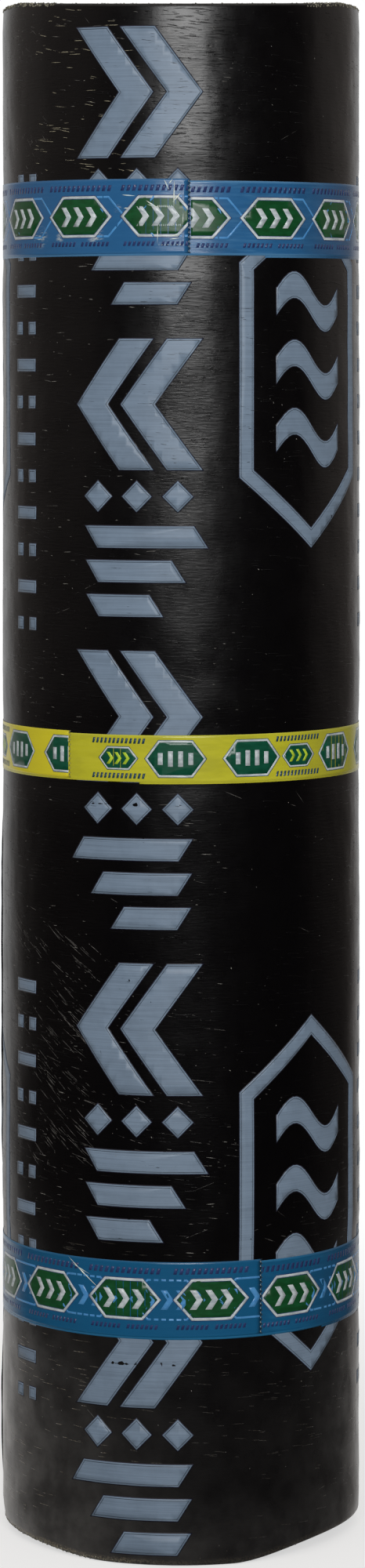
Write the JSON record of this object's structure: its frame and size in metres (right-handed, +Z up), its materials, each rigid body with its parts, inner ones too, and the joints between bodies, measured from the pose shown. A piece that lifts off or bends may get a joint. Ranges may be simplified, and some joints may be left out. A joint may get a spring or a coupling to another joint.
{
  "type": "roll of bitumen membrane",
  "caption": "Coreless roll of bitumen roofing membrane standing on end, wound in a spiral round an open bore and held shut by bands of printed adhesive tape.",
  "frame": {"origin": "on the bore's axis, at the end face that the roll stands on", "axes": "+Z up along the bore; -Y is the side where the tapes end; the sheet's free end runs up the left of that side, just behind the outline"},
  "size_m": [0.2368, 0.2389, 1],
  "materials": {
    "membrane": "satin",
    "blue_tape": "gloss",
    "yellow_tape": "gloss"
  },
  "bodies": {
    "root": {"membrane_roll": "membrane", "upper_tape": "blue_tape", "middle_tape": "yellow_tape", "lower_tape": "blue_tape"}
  },
  "joints": []
}
